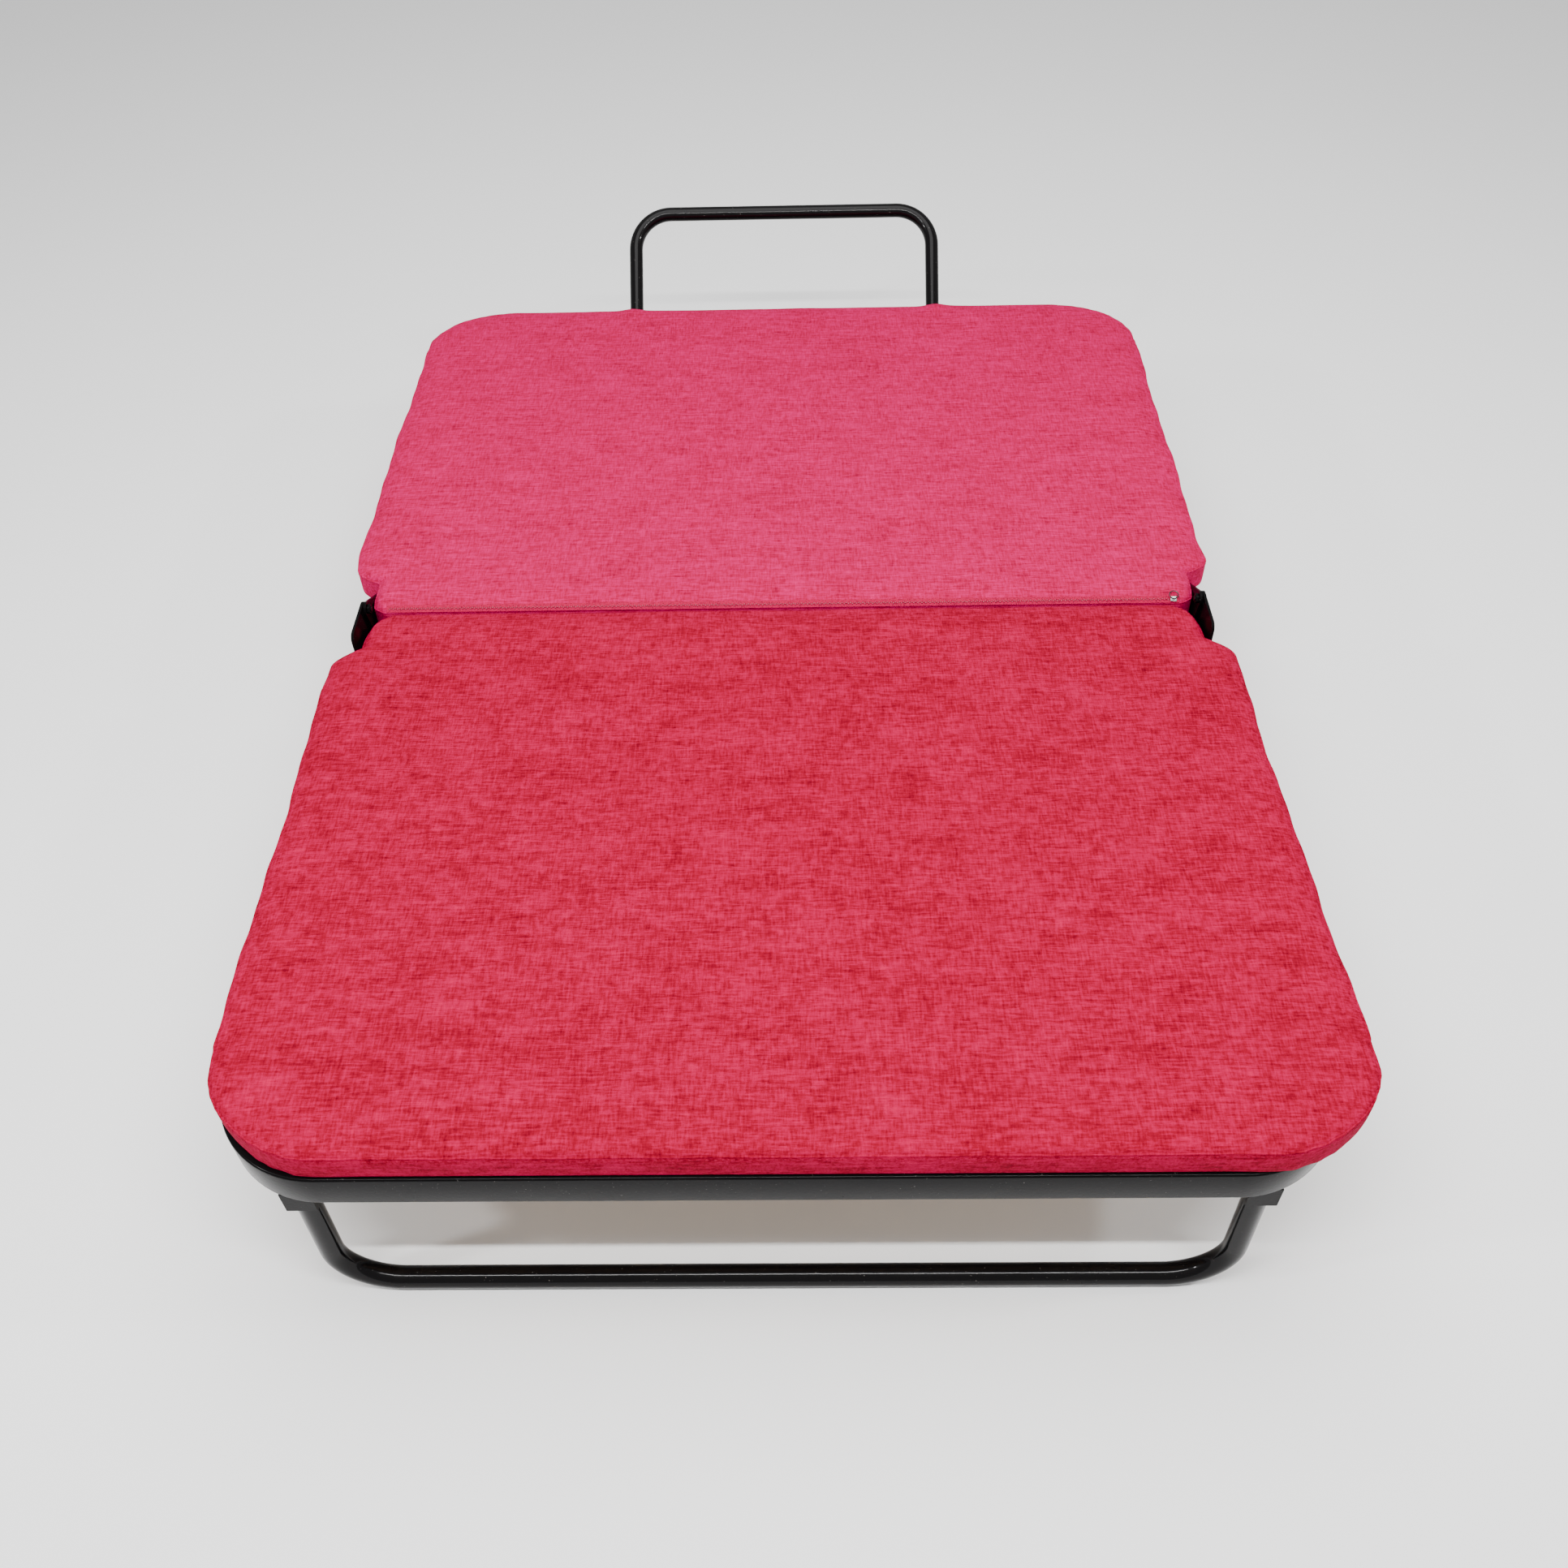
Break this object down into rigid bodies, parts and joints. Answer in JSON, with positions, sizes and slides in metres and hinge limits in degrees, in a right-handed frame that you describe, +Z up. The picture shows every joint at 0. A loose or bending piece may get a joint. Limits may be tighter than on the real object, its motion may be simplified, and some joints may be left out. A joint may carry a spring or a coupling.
{
  "type": "folding cot",
  "caption": "Low folding cot: two cushioned halves hinged across the middle on a bent tube frame, with folding U legs and a tilting headrest bar.",
  "frame": {"origin": "on the floor, in the middle of the footprint of the open cot with its headrest bar leaning back", "axes": "+Z up, +Y from the foot end to the head end, +X to the right of someone looking from the foot end"},
  "size_m": [1.274, 1.982, 0.447],
  "materials": {
    "black_enamel": "gloss",
    "black_plastic": "satin",
    "plywood": "raw",
    "foot_velvet": "crushed pile",
    "head_velvet": "crushed pile",
    "zip_fabric": "woven tape",
    "zinc_steel": "satin",
    "bronzed_steel": "satin"
  },
  "bodies": {
    "foot_half": {"foot_rail": "black_enamel", "foot_rail_cap_left": "black_plastic", "foot_rail_cap_right": "black_plastic", "foot_fold_bar": "black_enamel", "foot_cross_bar_1": "black_enamel", "foot_cross_bar_2": "black_enamel", "foot_deck": "plywood", "foot_cushion": "foot_velvet", "foot_hinge_plate_left": "black_enamel", "foot_hinge_plate_right": "black_enamel", "hinge_left_bolt": "bronzed_steel", "hinge_left_nut": "bronzed_steel", "hinge_right_bolt": "bronzed_steel", "hinge_right_nut": "bronzed_steel", "foot_leg_bracket_left": "black_enamel", "foot_leg_left_bolt": "bronzed_steel", "foot_leg_left_nut": "bronzed_steel", "foot_leg_bracket_right": "black_enamel", "foot_leg_right_bolt": "bronzed_steel", "foot_leg_right_nut": "bronzed_steel", "middle_leg_bracket_left": "black_enamel", "middle_leg_left_bolt": "bronzed_steel", "middle_leg_left_nut": "bronzed_steel", "middle_leg_bracket_right": "black_enamel", "middle_leg_right_bolt": "bronzed_steel", "middle_leg_right_nut": "bronzed_steel"},
    "head_half": {"head_rail": "black_enamel", "head_rail_cap_left": "black_plastic", "head_rail_cap_right": "black_plastic", "head_fold_bar": "black_enamel", "head_cross_bar_1": "black_enamel", "head_cross_bar_2": "black_enamel", "head_deck": "plywood", "head_cushion": "head_velvet", "head_hinge_plate_left": "black_enamel", "head_hinge_plate_right": "black_enamel", "head_leg_bracket_left": "black_enamel", "head_leg_left_bolt": "bronzed_steel", "head_leg_left_nut": "bronzed_steel", "head_leg_bracket_right": "black_enamel", "head_leg_right_bolt": "bronzed_steel", "head_leg_right_nut": "bronzed_steel", "headrest_bracket_left": "black_enamel", "headrest_left_bolt": "bronzed_steel", "headrest_left_nut": "bronzed_steel", "headrest_bracket_right": "black_enamel", "headrest_right_bolt": "bronzed_steel", "headrest_right_nut": "bronzed_steel", "zip_tape": "zip_fabric"},
    "foot_leg": {"foot_leg": "black_enamel"},
    "middle_leg": {"middle_leg": "black_enamel"},
    "head_leg": {"head_leg": "black_enamel"},
    "headrest": {"headrest_bar": "black_enamel"},
    "zip_slider": {"zip_slider": "zinc_steel"},
    "zip_pull": {"zip_pull": "zinc_steel"}
  },
  "joints": [
    {"name": "fold", "type": "hinge", "parent": "foot_half", "child": "head_half", "pos_m": [0, -0.09798, 0.348], "axis": [1, 0, 0], "range_deg": [0, 178]},
    {"name": "foot_leg_fold", "type": "hinge", "parent": "foot_half", "child": "foot_leg", "pos_m": [0, -0.96318, 0.2247], "axis": [1, 0, 0], "range_deg": [0, 91.5]},
    {"name": "middle_leg_fold", "type": "hinge", "parent": "foot_half", "child": "middle_leg", "pos_m": [0, -0.12127, 0.2247], "axis": [-1, 0, 0], "range_deg": [0, 91.5]},
    {"name": "head_leg_fold", "type": "hinge", "parent": "head_half", "child": "head_leg", "pos_m": [0, 0.76723, 0.2247], "axis": [-1, 0, 0], "range_deg": [0, 91.5]},
    {"name": "headrest_tilt", "type": "hinge", "parent": "head_half", "child": "headrest", "pos_m": [0, 0.81183, 0.2747], "axis": [1, 0, 0], "range_deg": [-133, 42]},
    {"name": "zip_slide", "type": "slide", "parent": "head_half", "child": "zip_slider", "axis": [-1, 0, 0], "range_m": [0, 1.148]},
    {"name": "zip_pull_flip", "type": "hinge", "parent": "zip_slider", "child": "zip_pull", "pos_m": [0.5744, -0.09399, 0.34502], "axis": [1, 0, 0], "range_deg": [0, 150]}
  ]
}
